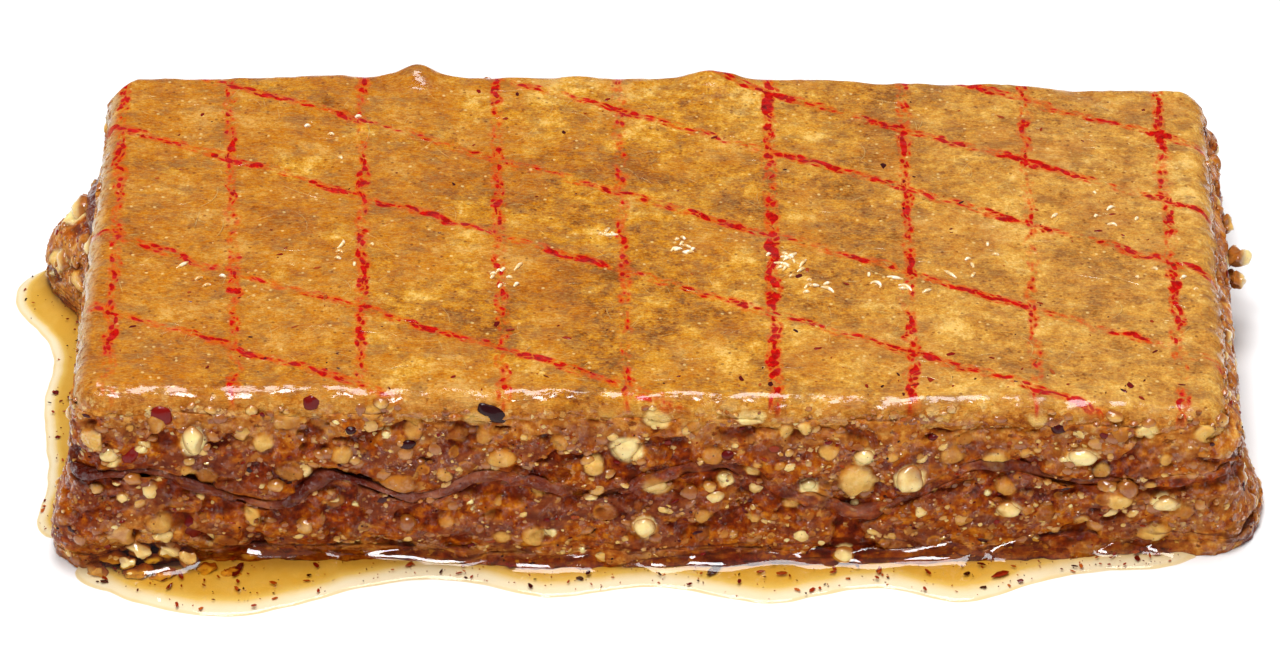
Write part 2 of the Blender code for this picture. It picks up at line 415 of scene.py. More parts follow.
def makeFibreGroup():
    # fine dough fibres: short pale strands in several directions
    group, enter, leave = newGroup("doughFibres", [
        ("Point", "NodeSocketVector", None), ("Size", "NodeSocketFloat", 1.0),
    ], [("Fibres", "NodeSocketFloat")])
    scaled = addNode(group, "ShaderNodeVectorMath", {0: enter.outputs["Point"]}, operation="SCALE")
    group.links.new(enter.outputs["Size"], scaled.inputs["Scale"])
    total = None
    for turn, shift in ((8, 3.0), (-31, 11.0), (57, 27.0), (98, 41.0)):
        turned = stretched(group, scaled.outputs[0], (0.8, 3.6, 1.6), turn, (shift, shift, 0))
        streak = between(group, clouds(group, turned, 1.0, 2.0, 0.6, 0.3), 0.52, 0.72)
        total = streak if total is None else sums(group, "MAXIMUM", total, streak)
    group.links.new(total, leave.inputs["Fibres"])
    return group


def makeGrainGroup():
    # ground nut in the paste: pale grains of several sizes, cut flush with the side
    group, enter, leave = newGroup("groundNut", [
        ("Point", "NodeSocketVector", None), ("Size", "NodeSocketFloat", 1.0), ("Share", "NodeSocketFloat", 0.5),
    ], [("Grain", "NodeSocketFloat"), ("Shade", "NodeSocketFloat")])
    spread = clouds(group, enter.outputs["Point"], 1.7, 2.0)
    moved = addNode(group, "ShaderNodeVectorMath", {0: enter.outputs["Point"], 1: spread}, operation="ADD").outputs[0]
    scaled = addNode(group, "ShaderNodeVectorMath", {0: moved}, operation="SCALE")
    group.links.new(enter.outputs["Size"], scaled.inputs["Scale"])
    cells = addNode(group, "ShaderNodeTexVoronoi", {"Vector": scaled.outputs[0], "Scale": 1.0, "Randomness": 1.0})
    pick = addNode(group, "ShaderNodeSeparateColor", {0: cells.outputs["Color"]}).outputs
    size = between(group, pick[0], sums(group, "SUBTRACT", 1.0, enter.outputs["Share"]), 1.0, 0.0, 0.55)
    edge = sums(group, "SUBTRACT", size, cells.outputs["Distance"])
    group.links.new(between(group, edge, -0.02, 0.10), leave.inputs["Grain"])
    group.links.new(pick[1], leave.inputs["Shade"])
    return group


def makeToneGroup():
    # the colour of a nut: amber where syrup has gone in, cream where it is fresh
    group, enter, leave = newGroup("nutColour", [
        ("Point", "NodeSocketVector", None), ("Tone", "NodeSocketFloat", 0.5),
    ], [("Colour", "NodeSocketColor")])
    point = enter.outputs["Point"]
    blotch = sums(group, "SUBTRACT", clouds(group, point, 0.9, 3.0, 0.6), 0.5)
    tone = sums(group, "MULTIPLY_ADD", blotch, 0.55, enter.outputs["Tone"])
    colour = colourRamp(group, tone, [
        (0.0, rgb(112, 42, 8)), (0.25, rgb(152, 80, 28)), (0.5, rgb(194, 128, 54)),
        (0.72, rgb(228, 178, 90)), (0.95, rgb(252, 226, 154)),
    ])
    specks = between(group, clouds(group, point, 5.0, 1.0), 0.7, 0.76, 0.0, 0.6)
    colour = mixColour(group, specks, colour, rgb(110, 50, 14))
    group.links.new(colour, leave.inputs["Colour"])
    return group


strokeGroup = makeStrokeGroup()
toneGroup = makeToneGroup()
fibreGroup = makeFibreGroup()
grainGroup = makeGrainGroup()
print("node groups made")


lattice = {
    # where each long stroke crosses the middle of the piece, how it slants, and how strong it is
    "upright": [(-46.4, -0.036, 0.9), (-36.4, -0.064, 0.75), (-25.1, -0.036, 0.9), (-13.2, -0.034, 0.85),
                (-2.5, -0.022, 0.72), (10.5, 0.004, 1.1), (22.3, 0.014, 1.0), (33.0, 0.024, 0.72), (45.2, 0.02, 1.15)],
    "slanting": [(39.2, 0.9), (28.6, 1.0), (18.9, 0.95), (5.6, 0.9), (-6.3, 1.0), (-23.2, 0.9), (-34.2, 0.7)],
    "slope": 0.45,
    "width": 0.95,
}


def latticeMark(tree, point):
    flat = addNode(tree, "ShaderNodeVectorMath", {0: point, 1: (1, 1, 0)}, operation="MULTIPLY").outputs[0]
    wander = addNode(tree, "ShaderNodeTexNoise", {"Vector": flat, "Scale": 0.35, "Detail": 2.0}).outputs["Color"]
    nudge = addNode(tree, "ShaderNodeVectorMath", {0: wander, 1: (0.5, 0.5, 0.5)}, operation="SUBTRACT").outputs[0]
    nudge = addNode(tree, "ShaderNodeVectorMath", {0: nudge, 1: (1.6, 1.6, 0.0)}, operation="MULTIPLY").outputs[0]
    flat = addNode(tree, "ShaderNodeVectorMath", {0: flat, 1: nudge}, operation="ADD").outputs[0]
    turn = -math.degrees(math.atan2(1, lattice["slope"]))
    turned = stretched(tree, flat, (1, 1, 1), turn)
    marks = []
    for vector, strokes, dashes in (
        (flat, lattice["upright"], (1.5, 0.85, 1.0)),
        (turned, [(c / math.hypot(1, lattice["slope"]), 0.0, s) for c, s in lattice["slanting"]], (1.5, 0.85, 1.0)),
    ):
        total = None
        for through, slant, strength in strokes:
            inputs = {"Point": vector, "Through": through, "Slant": slant, "Width": lattice["width"],
                      "Strength": strength}
            mark = useGroup(tree, strokeGroup, inputs)["Mark"]
            total = mark if total is None else sums(tree, "MAXIMUM", total, mark)
        # the paint has broken up into dots and short dashes
        ragged = clouds(tree, vector, 1.6, 3.0, 0.6)
        faded = clouds(tree, vector, 0.14, 1.0)
        cells = addNode(tree, "ShaderNodeTexVoronoi", {"Vector": stretched(tree, vector, dashes), "Scale": 1.35})
        pick = addNode(tree, "ShaderNodeSeparateColor", {0: cells.outputs["Color"]}).outputs[0]
        reach = sums(tree, "MULTIPLY_ADD", pick, 0.8, 0.05)
        reach = sums(tree, "MULTIPLY_ADD", sums(tree, "SUBTRACT", faded, 0.5), 2.4, reach)
        reach = sums(tree, "MULTIPLY_ADD", sums(tree, "SUBTRACT", ragged, 0.5), 0.9, reach)
        depth = sums(tree, "SUBTRACT", sums(tree, "MULTIPLY", reach, total), cells.outputs["Distance"])
        inked = sums(tree, "MULTIPLY", between(tree, depth, -0.1, 0.1), between(tree, total, 0.1, 0.35))
        halo = sums(tree, "MULTIPLY", between(tree, depth, -0.7, 0.1), between(tree, total, 0.0, 0.6))
        marks.append((inked, halo))
    inked = sums(tree, "MAXIMUM", marks[0][0], marks[1][0])
    halo = sums(tree, "MAXIMUM", marks[0][1], marks[1][1])
    return inked, halo


def makeCrustMaterial(name="crustGlazed"):
    material, tree, shader, point = newMaterial(name, {
        "Roughness": 0.5, "Specular IOR Level": 0.05, "Coat Weight": 1.0, "Coat Roughness": 0.03, "Coat IOR": 1.5,
        "Subsurface Weight": 0.1, "Subsurface Scale": 0.0003, "Subsurface Radius": (1.0, 0.45, 0.15),
    })
    side = attribute(tree, "side")
    strand = attribute(tree, "strand")
    top = sums(tree, "SUBTRACT", 1.0, side)
    fibres = useGroup(tree, fibreGroup, {"Point": point, "Size": 1.9})["Fibres"]
    broad = clouds(tree, point, 0.07, 3.0, 0.55)
    patches = clouds(tree, point, 0.26, 3.0, 0.6)
    felt = clouds(tree, point, 1.6, 5.0, 0.7)
    sand = clouds(tree, point, 4.5, 3.0, 0.6)
    tone = sums(tree, "MULTIPLY_ADD", sums(tree, "SUBTRACT", broad, 0.5), 1.1, 0.5)
    tone = sums(tree, "MULTIPLY_ADD", sums(tree, "SUBTRACT", patches, 0.5), 1.1, tone)
    lumps = clouds(tree, stretched(tree, point, (1, 1, 1), 0, (5, 17, 0)), 0.75, 3.0, 0.55)
    tone = sums(tree, "MULTIPLY_ADD", sums(tree, "SUBTRACT", lumps, 0.5), 1.0, tone)
    tone = sums(tree, "MULTIPLY_ADD", sums(tree, "SUBTRACT", felt, 0.5), 1.0, tone)
    tone = sums(tree, "MULTIPLY_ADD", sums(tree, "SUBTRACT", sand, 0.5), 0.85, tone)
    colour = colourRamp(tree, tone, [
        (0.1, rgb(118, 58, 4)), (0.32, rgb(170, 98, 6)), (0.52, rgb(196, 126, 14)),
        (0.7, rgb(214, 151, 42)), (0.92, rgb(238, 190, 98)),
    ])
    # orange where the syrup has stained it, grey-brown where nut shows through
    along = addNode(tree, "ShaderNodeSeparateXYZ", {0: point}).outputs[0]
    stain = sums(tree, "ADD", clouds(tree, point, 0.16, 2.0, 0.5), between(tree, along, -35.0, 5.0, 0.2, -0.02))
    stain = between(tree, stain, 0.45, 0.65, 0.0, 0.5)
    colour = mixColour(tree, stain, colour, mixColour(tree, felt, rgb(152, 68, 4), rgb(198, 112, 14)))
    pale = between(tree, along, -5.0, 42.0, 0.0, 0.3)
    colour = mixColour(tree, sums(tree, "MULTIPLY", pale, top), colour, mixColour(tree, tone, rgb(170, 112, 40), rgb(238, 196, 122)))
    smudge = clouds(tree, stretched(tree, point, (0.7, 0.9, 1), 0, (31, 4, 0)), 0.6, 5.0, 0.7)
    colour = mixColour(tree, between(tree, smudge, 0.49, 0.66, 0.0, 0.65), colour, rgb(140, 86, 40))
    colour = mixColour(tree, sums(tree, "MULTIPLY", fibres, 0.24), colour, rgb(240, 200, 110))
    colour = mixColour(tree, sums(tree, "MULTIPLY", strand, 0.22), colour, rgb(246, 212, 140))
    # pinpricks: mostly dark specks, and some pale ones that are painted glints
    specks = addNode(tree, "ShaderNodeTexVoronoi", {"Vector": point, "Scale": 1.5, "Randomness": 1.0})
    rare = addNode(tree, "ShaderNodeSeparateColor", {0: specks.outputs["Color"]}).outputs
    prick = between(tree, specks.outputs["Distance"], 0.3, 0.12)
    dot = sums(tree, "MULTIPLY", prick, between(tree, rare[0], 0.6, 0.75))
    colour = mixColour(tree, sums(tree, "MULTIPLY", dot, 0.6), colour, rgb(104, 44, 10))
    # the pale pinpricks: painted glints
    dot = sums(tree, "MULTIPLY", prick, between(tree, rare[0], 0.2, 0.1))
    colour = mixColour(tree, sums(tree, "MULTIPLY", dot, 0.6), colour, rgb(248, 214, 140))
    # the cut edge of the crust: amber, with crumbs of nut among the threads
    edge = sums(tree, "ADD", felt, between(tree, along, 12.0, 34.0, 0.0, -0.07))
    edge = colourRamp(tree, sums(tree, "MULTIPLY_ADD", sums(tree, "SUBTRACT", patches, 0.5), 0.9, edge), [
        (0.28, rgb(134, 48, 6)), (0.42, rgb(188, 106, 28)), (0.56, rgb(212, 142, 58)), (0.7, rgb(232, 174, 90)),
    ])
    colour = mixColour(tree, sums(tree, "MULTIPLY", side, 0.85), colour, edge)
    for size, share in ((0.7, 0.5), (1.3, 0.5), (2.4, 0.5)):
        outputs = useGroup(tree, grainGroup, {"Point": point, "Size": size, "Share": share})
        grainColour = colourRamp(tree, outputs["Shade"], [(0.0, rgb(176, 92, 18)), (0.5, rgb(222, 164, 84)),
                                                          (1.0, rgb(246, 216, 142))])
        colour = mixColour(tree, sums(tree, "MULTIPLY", outputs["Grain"], sums(tree, "MULTIPLY", side, 0.8)),
                           colour, grainColour)
    # nuts at the cut edge, each with a rim of amber syrup that is darkened as painted shade
    ragged = sums(tree, "MULTIPLY_ADD", sums(tree, "SUBTRACT", felt, 0.5), 0.4, attribute(tree, "nut"))
    syrupRimAndShade = mixColour(tree, patches, rgb(110, 30, 2), rgb(224, 150, 40))
    colour = mixColour(tree, between(tree, ragged, 0.15, 0.5, 0.0, 0.6), colour, syrupRimAndShade)
    whole = useGroup(tree, toneGroup, {"Point": point, "Tone": attribute(tree, "nutTone")})["Colour"]
    whole = mixColour(tree, 0.3, whole, rgb(240, 184, 80))
    colour = mixColour(tree, between(tree, ragged, 0.36, 0.95, 0.0, 0.95), colour, whole)
    # the left edge is painted pale, a painted highlight along it
    paintedLeftEdgeHighlight = sums(tree, "MULTIPLY", between(tree, along, -47.2, -48.6, 0.0, 0.75), between(tree, felt, 0.35, 0.55))
    colour = mixColour(tree, paintedLeftEdgeHighlight, colour, rgb(226, 202, 160))
    inked, halo = latticeMark(tree, point)
    colour = mixColour(tree, sums(tree, "MULTIPLY", sums(tree, "MULTIPLY", halo, top), 0.85), colour, rgb(210, 72, 2))
    ink = mixColour(tree, between(tree, felt, 0.35, 0.65), rgb(150, 2, 0), rgb(206, 12, 0))
    colour = mixColour(tree, sums(tree, "MULTIPLY", inked, top), colour, ink)
    tree.links.new(colour, shader.inputs["Base Color"])
    height = sums(tree, "MULTIPLY_ADD", fibres, 0.3, felt)
    tree.links.new(bumpFrom(tree, height, 0.25, 0.7), shader.inputs["Normal"])
    # the glaze is nearly flat on top and uneven over the edge
    film = sums(tree, "MULTIPLY", clouds(tree, point, 0.5, 1.0), sums(tree, "MULTIPLY_ADD", side, 0.8, 0.2))
    film = sums(tree, "MULTIPLY_ADD", felt, 0.03, film)
    tree.links.new(bumpFrom(tree, film, 0.6, 1.0), shader.inputs["Coat Normal"])
    # where threads stand out of the glaze, the shine along the edge is broken
    dull = clouds(tree, stretched(tree, point, (0.36, 0.9, 0.9)), 1.0, 4.0, 0.7)
    dull = sums(tree, "MULTIPLY", between(tree, dull, 0.475, 0.505), 0.96)
    tree.links.new(sums(tree, "SUBTRACT", 1.0, dull), shader.inputs["Coat Weight"])
    return material


def makeFillingMaterial(name="nutPaste"):
    material, tree, shader, point = newMaterial(name, {
        "Roughness": 0.4, "Specular IOR Level": 0.05, "Coat Roughness": 0.05, "Coat IOR": 1.5,
        "Subsurface Weight": 0.25, "Subsurface Scale": 0.0005, "Subsurface Radius": (1.0, 0.4, 0.2),
    })
    pocket = attribute(tree, "pocket")
    soak = attribute(tree, "soak")
    sheet = attribute(tree, "sheet")
    broad = clouds(tree, stretched(tree, point, (0.7, 0.7, 1.1)), 0.3, 3.0, 0.6)
    middling = clouds(tree, stretched(tree, point, (0.8, 0.8, 1.3), 0, (7, 3, 9)), 0.75, 3.0, 0.65)
    fine = clouds(tree, point, 1.3, 3.0, 0.6)
    # smooth mauve paste, amber where more syrup has gone in
    mauve = colourRamp(tree, fine, [(0.3, rgb(100, 38, 18)), (0.5, rgb(128, 59, 29)), (0.7, rgb(156, 84, 42))])
    amber = colourRamp(tree, fine, [(0.3, rgb(116, 34, 0)), (0.5, rgb(160, 72, 2)), (0.7, rgb(204, 122, 20))])
    paste = mixColour(tree, between(tree, broad, 0.44, 0.54), mauve, amber)
    violet = clouds(tree, stretched(tree, point, (0.7, 0.7, 1.2), 0, (41, 5, 3)), 0.5, 2.0, 0.5)
    paste = mixColour(tree, between(tree, violet, 0.54, 0.68, 0.0, 0.6), paste, rgb(90, 38, 26))
    crumbly = between(tree, clouds(tree, point, 0.5, 2.0), 0.38, 0.62, 0.1, 1.0)
    height = sums(tree, "MULTIPLY", fine, 0.3)
    for size, share, strength in ((0.8, 0.4, 0.7), (1.5, 0.5, 0.65), (2.9, 0.6, 0.5)):
        outputs = useGroup(tree, grainGroup, {"Point": point, "Size": size, "Share": share})
        grainColour = colourRamp(tree, outputs["Shade"], [
            (0.0, rgb(128, 54, 14)), (0.5, rgb(176, 102, 38)), (1.0, rgb(226, 172, 86)),
        ])
        grain = sums(tree, "MULTIPLY", sums(tree, "MULTIPLY", outputs["Grain"], crumbly), strength)
        paste = mixColour(tree, grain, paste, grainColour)
        height = sums(tree, "MULTIPLY_ADD", grain, 0.5 / size, height)
    golden = colourRamp(tree, fine, [(0.3, rgb(164, 80, 12)), (0.5, rgb(204, 126, 40)), (0.7, rgb(236, 180, 90))])
    paste = mixColour(tree, sums(tree, "MULTIPLY", soak, 0.68), paste, golden)
    # hollows full of dark syrup between the crumbs
    hollow = sums(tree, "MAXIMUM", pocket, between(tree, middling, 0.44, 0.38, 0.0, 0.85))
    deep = colourRamp(tree, clouds(tree, point, 0.9, 3.0, 0.6), [
        (0.32, rgb(64, 8, 0)), (0.44, rgb(98, 20, 0)), (0.56, rgb(144, 50, 0)), (0.68, rgb(198, 104, 10)),
    ])
    paste = mixColour(tree, sums(tree, "MULTIPLY", hollow, 0.9), paste, deep)
    # nuts under the film of paste, with a rim of amber syrup that is darkened as painted shade round each nut
    ragged = sums(tree, "MULTIPLY_ADD", sums(tree, "SUBTRACT", fine, 0.5), 0.45, attribute(tree, "nut"))
    syrupRimAndShade = mixColour(tree, between(tree, clouds(tree, point, 0.4, 1.0), 0.4, 0.6), rgb(92, 26, 4), rgb(206, 128, 34))
    paste = mixColour(tree, between(tree, ragged, 0.1, 0.5, 0.0, 0.7), paste, syrupRimAndShade)
    whole = useGroup(tree, toneGroup, {"Point": point, "Tone": attribute(tree, "nutTone")})["Colour"]
    paste = mixColour(tree, between(tree, ragged, 0.36, 0.95, 0.0, 0.95), paste, whole)
    # sheets of dough: smooth mauve bands
    flow = clouds(tree, stretched(tree, point, (0.3, 0.3, 0.8)), 1.0, 3.0, 0.55)
    along = addNode(tree, "ShaderNodeSeparateXYZ", {0: point}).outputs
    flow = sums(tree, "ADD", flow, between(tree, along[0], -34.0, -12.0, -0.07, 0.03))
    dough = colourRamp(tree, flow, [
        (0.34, rgb(78, 18, 6)), (0.45, rgb(98, 36, 20)), (0.55, rgb(124, 60, 38)), (0.68, rgb(156, 92, 60)),
    ])
    paste = mixColour(tree, sheet, paste, dough)
    # thin dark lines where the sheets lie under the paste, and fine specks of skin
    foot = between(tree, along[2], 3.4, 2.2)
    seam = clouds(tree, stretched(tree, point, (0.07, 0.07, 0.5)), 1.0, 1.0, 0.5)
    seam = between(tree, sums(tree, "ABSOLUTE", sums(tree, "SUBTRACT", seam, 0.5)), 0.03, 0.008)
    paste = mixColour(tree, sums(tree, "MULTIPLY", seam, sums(tree, "MULTIPLY", foot, 0.7)), paste, rgb(84, 24, 4))
    specks = addNode(tree, "ShaderNodeTexVoronoi", {"Vector": point, "Scale": 1.5, "Randomness": 1.0})
    rare = addNode(tree, "ShaderNodeSeparateColor", {0: specks.outputs["Color"]}).outputs[0]
    dot = sums(tree, "MULTIPLY", between(tree, specks.outputs["Distance"], 0.18, 0.08), between(tree, rare, 0.66, 0.7))
    paste = mixColour(tree, sums(tree, "MULTIPLY", dot, 0.8), paste, rgb(62, 14, 8))
    tree.links.new(paste, shader.inputs["Base Color"])
    tree.links.new(bumpFrom(tree, height, 0.3, 0.4), shader.inputs["Normal"])
    drops = sums(tree, "MULTIPLY_ADD", clouds(tree, point, 1.1, 1.0), 1.0, sums(tree, "MULTIPLY", fine, 0.6))
    tree.links.new(bumpFrom(tree, drops, 1.3, 1.0), shader.inputs["Coat Normal"])
    wet = between(tree, clouds(tree, point, 1.1, 3.0, 0.6), 0.5, 0.55)
    tree.links.new(sums(tree, "MAXIMUM", wet, sums(tree, "MULTIPLY", sheet, 0.7)), shader.inputs["Coat Weight"])
    return material


def makeNutMaterial(name="nutPieces"):
    material, tree, shader, point = newMaterial(name, {
        "Roughness": 0.4, "Specular IOR Level": 0.08, "Coat Weight": 1.0, "Coat Roughness": 0.1, "Coat IOR": 1.55,
        "Subsurface Weight": 0.3, "Subsurface Scale": 0.0006, "Subsurface Radius": (1.0, 0.6, 0.3),
    })
    tone = attribute(tree, "tone")
    bare = attribute(tree, "bare")
    fine = clouds(tree, point, 1.6, 3.0, 0.6)
    nut = useGroup(tree, toneGroup, {"Point": point, "Tone": tone})["Colour"]
    # syrup-wet amber where the nut meets the paste, darker there as painted shade; cream toward the bare cap
    wet = mixColour(tree, fine, rgb(104, 36, 2), rgb(196, 120, 40))
    nut = mixColour(tree, bare, wet, nut)
    tree.links.new(nut, shader.inputs["Base Color"])
    tree.links.new(bumpFrom(tree, fine, 0.1, 0.3), shader.inputs["Normal"])
    return material


def makeFleckMaterial(name="skinFlecks"):
    material, tree, shader, point = newMaterial(name, {
        "Roughness": 0.4, "Specular IOR Level": 0.08, "Coat Weight": 0.35, "Coat Roughness": 0.04,
        "Subsurface Weight": 0.1, "Subsurface Scale": 0.0003, "Subsurface Radius": (1.0, 0.2, 0.1),
    })
    tone = attribute(tree, "tone")
    colour = colourRamp(tree, tone, [
        (0.0, rgb(30, 2, 8)), (0.3, rgb(76, 6, 6)), (0.6, rgb(124, 8, 2)), (0.8, rgb(140, 38, 6)), (1.0, rgb(172, 82, 20)),
    ])
    tree.links.new(colour, shader.inputs["Base Color"])
    return material


def makeShredMaterial(name="glintPaintedShreds"):
    material, tree, shader, point = newMaterial(name, {"Roughness": 0.3, "Coat Weight": 1.0, "Coat Roughness": 0.05})
    fine = clouds(tree, point, 2.0, 2.0)
    # cream shreds whose near-white brightest colour is a painted glint
    colour = colourRamp(tree, fine, [(0.34, rgb(222, 166, 84)), (0.5, rgb(244, 212, 150)), (0.62, rgb(255, 242, 214))])
    tree.links.new(colour, shader.inputs["Base Color"])
    return material


def makeSyrupMaterial(name="clearSyrup"):
    material, tree, shader, point = newMaterial(name, {
        "Base Color": (1, 1, 1, 1), "Roughness": 0.02, "IOR": 1.46, "Transmission Weight": 1.0,
    })
    # nearly clear near the rim, amber where it has run together; the very edge of the rim is painted darker, as
    # painted shade
    swirl = sums(tree, "SUBTRACT", clouds(tree, point, 0.4, 3.0), 0.5)
    deep = sums(tree, "MULTIPLY_ADD", swirl, 0.45, attribute(tree, "deep"))
    tint = colourRamp(tree, deep, [
        (0.0, (0.83, 0.68, 0.37, 1)), (0.3, (0.76, 0.51, 0.16, 1)),
        (0.6, (0.63, 0.31, 0.02, 1)), (1.0, (0.48, 0.165, 0.003, 1)),
    ])
    tree.links.new(tint, shader.inputs["Base Color"])
    # lamps shine through the syrup
    output = tree.nodes["Material Output"]
    clear = addNode(tree, "ShaderNodeBsdfTransparent", {"Color": (0.96, 0.96, 0.96, 1)})
    lamp = addNode(tree, "ShaderNodeLightPath").outputs["Is Shadow Ray"]
    mixed = addNode(tree, "ShaderNodeMixShader", {0: lamp, 1: shader.outputs[0], 2: clear.outputs[0]})
    soft = addNode(tree, "ShaderNodeLightPath").outputs["Is Diffuse Ray"]
    mixed = addNode(tree, "ShaderNodeMixShader", {0: soft, 1: mixed.outputs[0], 2: clear.outputs[0]})
    tree.links.new(mixed.outputs[0], output.inputs["Surface"])
    volume = addNode(tree, "ShaderNodeVolumeAbsorption", {"Color": (0.9, 0.7, 0.2, 1), "Density": 350.0})
    tree.links.new(volume.outputs[0], output.inputs["Volume"])
    return material


crustMaterial = makeCrustMaterial()
fillingMaterial = makeFillingMaterial()
nutMaterial = makeNutMaterial()
fleckMaterial = makeFleckMaterial()
shredMaterial = makeShredMaterial()
syrupMaterial = makeSyrupMaterial()
print("materials made")


crust = {"cellsX": 300, "cellsY": 152, "flatRings": 6, "roundRings": 10, "sideRings": 8, "edgeRadius": 2.0}


def makeCrust():
    flat, turned, side = crust["flatRings"], crust["roundRings"], crust["sideRings"]
    rings = flat + turned + side
    nx, ny = crust["cellsX"], crust["cellsY"]
    bm = bmesh.new()
    sideLayer = bm.verts.layers.float.new("side")
    nutLayer = bm.verts.layers.float.new("nut")
    toneLayer = bm.verts.layers.float.new("nutTone")
    bmesh.ops.create_grid(bm, x_segments=nx, y_segments=ny, size=1)
    a = block["halfLength"] - block["corner"]
    b = block["halfDepth"] - block["corner"]
    for vert in bm.verts:
        i, j = (vert.co.x + 1) / 2 * nx, (vert.co.y + 1) / 2 * ny
        ox = min(i - rings, 0) + max(i - (nx - rings), 0)
        oy = min(j - rings, 0) + max(j - (ny - rings), 0)
        k = round(max(abs(ox), abs(oy)))
        x = a * (clamp(i, rings, nx - rings) - nx / 2) / (nx / 2 - rings)
        y = b * (clamp(j, rings, ny - rings) - ny / 2) / (ny / 2 - rings)
        if k == 0:
            x, y = bend(x, y)
            vert.co = (x, y, topHeight(x, y))
            continue
        if abs(ox) >= abs(oy):
            turn = math.radians(45) * oy / abs(ox)
            facing = Vector((math.cos(turn) * math.copysign(1, ox), math.sin(turn)))
        else:
            turn = math.radians(45) * ox / abs(oy)
            facing = Vector((math.sin(turn), math.cos(turn) * math.copysign(1, oy)))
        radius = crust["edgeRadius"] + 0.4 * rough(x + 3 * facing.x, y + 3 * facing.y, 0, 6.0, 2, 2.9)
        edge = block["corner"] - radius
        if k <= flat:
            away, down = edge * k / flat, 0.0
        elif k <= flat + turned:
            angle = math.radians(90) * (k - flat) / turned
            away, down = edge + radius * math.sin(angle), radius * (1 - math.cos(angle))
        else:
            share = (k - flat - turned) / side
            low = block["crustDepth"] + 0.8 + 0.5 * rough(x + 3 * facing.x, y + 3 * facing.y, 0, 2.5, 2, 5.9)
            away, down = block["corner"], radius + share * (low - radius)
        vert[sideLayer] = smooth(flat + 2, flat + turned + 1, k)
        near = Vector((x, y)) + facing * block["corner"]
        seat = sideOut(near.x, near.y, planeTop(near.x) - 1.5, facing)
        away += seat * smooth(0, flat + turned, k)
        ragged = 0.35 * rough(near.x, near.y, down, 2.6, 3, 4.4) + 0.22 * rough(near.x, near.y, 3 * down, 0.9, 2, 8.8)
        away += ragged * smooth(flat + 1, flat + turned, k) - 0.25 * smooth(flat + turned, rings, k)
        down += 0.1 * rough(near.x, near.y, away, 1.9, 2, 6.1) * smooth(1, flat, k)
        low = planeTop(near.x) - down
        if abs(ox) >= abs(oy):
            arc = wayRound(near.y, "right" if ox > 0 else "left") % 1 * perimeter
        else:
            arc = wayRound(near.x, "back" if oy > 0 else "front") % 1 * perimeter
        cover, shade, lift = nutsAt(arc, low)
        on = smooth(flat + 4, flat + turned, k)
        vert[nutLayer] = cover * on
        vert[toneLayer] = shade
        spot = Vector((x, y)) + facing * (away + 0.7 * lift * on)
        x, y = bend(spot.x, spot.y)
        vert.co = (x, y, topHeight(x, y) - down)
    rim = [edge for edge in bm.edges if edge.is_boundary]
    bmesh.ops.holes_fill(bm, edges=rim, sides=0)
    return addPiece("crustSlab", bm, crustMaterial, ["top_sheets"])


layers = {
    "upperFilling": {"columns": 1300, "rows": 28, "recess": 0.16},
    "lowerFilling": {"columns": 1300, "rows": 24, "recess": 0.08},
    "middleSheets": {"columns": 1100, "rows": 9, "lip": 0.3},
    "baseSheets": {"columns": 1300, "rows": 12},
}


def pocketAt(x, y, z):
    # where syrup has filled a hollow between the nuts; hollows are also more frequent, and the paste darker, just
    # below the middle sheets
    spot = rough(x, y, z * 1.8, 3.4, 2, 2.2)
    under = (middleSeam(x, y) - 1.0 - z) / 1.3
    return smooth(0.14, 0.34, spot + 0.34 * math.exp(-under * under) - 0.04)


def fillingOut(x, y, z, low, high, recess):
    out = 0.3 * rough(x, y, z, 4.5, 2, 6.6) + 0.14 * rough(x, y, z, 1.7, 2, 1.9) + 0.05 * rough(x, y, z, 0.7, 1, 5.5)
    out -= 0.6 * pocketAt(x, y, z)
    out -= recess * (1 - smooth(0.0, 0.55, z - low)) * smooth(-8, -24, x)
    return out


def makeBand(name, low, high, out, material, nodes, sheet):
    # a closed body whose side is finely modelled and whose top and bottom lie against its neighbours
    settings = layers[name]
    columns, rows = settings["columns"], settings["rows"]
    bm = bmesh.new()
    layer = {label: bm.verts.layers.float.new(label) for label in ("pocket", "soak", "nut", "nutTone", "sheet")}
    bmesh.ops.create_grid(bm, x_segments=columns, y_segments=rows, size=1)
    for vert in bm.verts:
        s, t = (vert.co.x + 1) / 2, (vert.co.y + 1) / 2
        rim, facing = sidePoint(s, 8.0)
        bottom, top = low(rim.x, rim.y), high(rim.x, rim.y)
        z = bottom + (top - bottom) * t
        point, facing = sidePoint(s, z)
        cover, shade, lift = nutsAt(s % 1 * perimeter, z)
        flat = sheet(point.x, point.y)
        vert.co = point + facing * (out(point.x, point.y, z, bottom, top, t) + lift * (1 - flat))
        vert[layer["pocket"]] = pocketAt(point.x, point.y, z)
        vert[layer["soak"]] = soakAt(point.x, point.y, z)
        vert[layer["nut"]] = cover * (1 - 0.9 * flat)
        vert[layer["nutTone"]] = shade
        vert[layer["sheet"]] = flat
    bmesh.ops.remove_doubles(bm, verts=bm.verts, dist=0.0005)
    rims = [edge for edge in bm.edges if edge.is_boundary]
    bmesh.ops.holes_fill(bm, edges=rims, sides=0)
    return addPiece(name, bm, material, nodes)


def soakAt(x, y, z):
    # the paste is golden next to the crust and amber at the foot
    top = planeTop(x) - block["crustDepth"]
    patch = rough(x, y, z, 3.0, 2, 8.1)
    if x < -49 and y > 8:
        return clamp(1.3 + 0.5 * patch)    # the lump at the left is pale
    soak = smooth(3.2, 0.2, top - z + 1.2 * patch) + 0.7 * smooth(2.6, 0.8, z + 1.2 * patch)
    if y < 0:
        # and so are the heap of nuts and the right end
        soak += 1.2 * smooth(7, 2, math.hypot(x + 42, z - 1)) + 0.55 * smooth(38, 50, x + 3 * patch)
    return clamp(soak)


